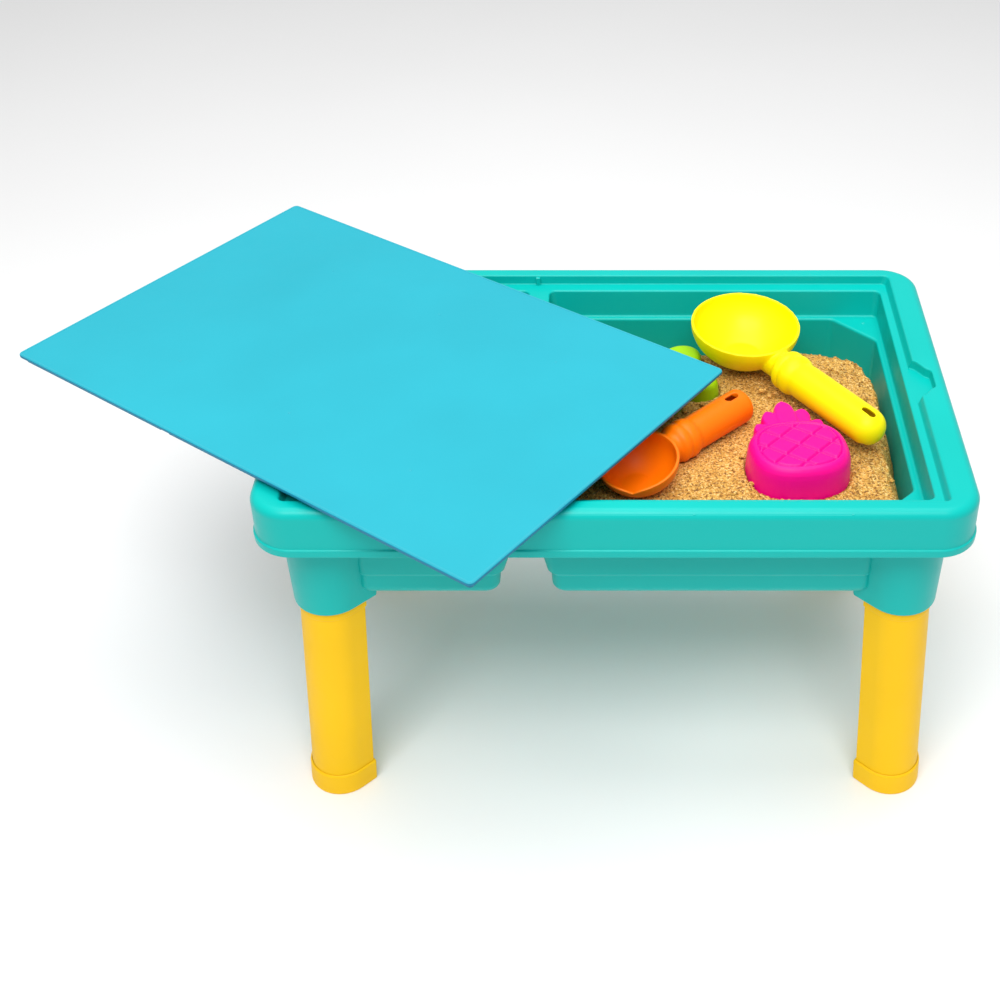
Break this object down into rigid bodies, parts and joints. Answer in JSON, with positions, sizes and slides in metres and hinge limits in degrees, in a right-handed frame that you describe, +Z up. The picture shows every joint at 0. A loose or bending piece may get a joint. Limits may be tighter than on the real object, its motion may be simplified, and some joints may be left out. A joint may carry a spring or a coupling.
{
  "type": "sand and water table",
  "caption": "Children's sand and water table: skirted plastic tub with a sand basin and a water basin on splayed legs, loose lid laid askew on the rim, scoops and sand moulds.",
  "frame": {"origin": "on the floor under the middle of the bounding box, the laid lid included", "axes": "+X to the right along the tub's length with the sand basin on the +X side, +Y from front to rear, +Z up"},
  "size_m": [0.794, 0.5608, 0.3494],
  "materials": {
    "tub_plastic": "satin",
    "lid_plastic": "satin",
    "leg_plastic": "satin",
    "sand": "matt",
    "yellow_plastic": "satin",
    "orange_plastic": "satin",
    "pink_plastic": "satin",
    "green_plastic": "satin"
  },
  "bodies": {
    "table": {"tub": "tub_plastic", "leg_front_left": "leg_plastic", "leg_front_right": "leg_plastic", "leg_rear_left": "leg_plastic", "leg_rear_right": "leg_plastic", "foot_front_left": "leg_plastic", "foot_front_right": "leg_plastic", "foot_rear_left": "leg_plastic", "foot_rear_right": "leg_plastic", "sand_fill": "sand"},
    "lid": {"lid": "lid_plastic"},
    "yellow_scoop": {"yellow_scoop": "yellow_plastic"},
    "orange_scoop": {"orange_scoop": "orange_plastic"},
    "pineapple_mould": {"pineapple_mould": "pink_plastic"},
    "star_mould": {"star_mould": "green_plastic"}
  },
  "joints": [
    {"name": "lid_lift", "type": "slide", "parent": "table", "child": "lid", "axis": [0, 0, 1], "range_m": [0, 0.3]},
    {"name": "yellow_scoop_lift", "type": "slide", "parent": "table", "child": "yellow_scoop", "axis": [0, 0, 1], "range_m": [0, 0.15]},
    {"name": "pineapple_mould_lift", "type": "slide", "parent": "table", "child": "pineapple_mould", "axis": [0, 0, 1], "range_m": [0, 0.15]},
    {"name": "orange_scoop_lift", "type": "slide", "parent": "table", "child": "orange_scoop", "axis": [0, 0, 1], "range_m": [0, 0.15]},
    {"name": "star_mould_lift", "type": "slide", "parent": "table", "child": "star_mould", "axis": [-0.45, 0, 0.893], "range_m": [0, 0.15]}
  ],
  "couplings": [
    {"joint": "orange_scoop_lift", "follows": "lid_lift", "ratio": 0.5},
    {"joint": "star_mould_lift", "follows": "lid_lift", "ratio": 0.5}
  ]
}
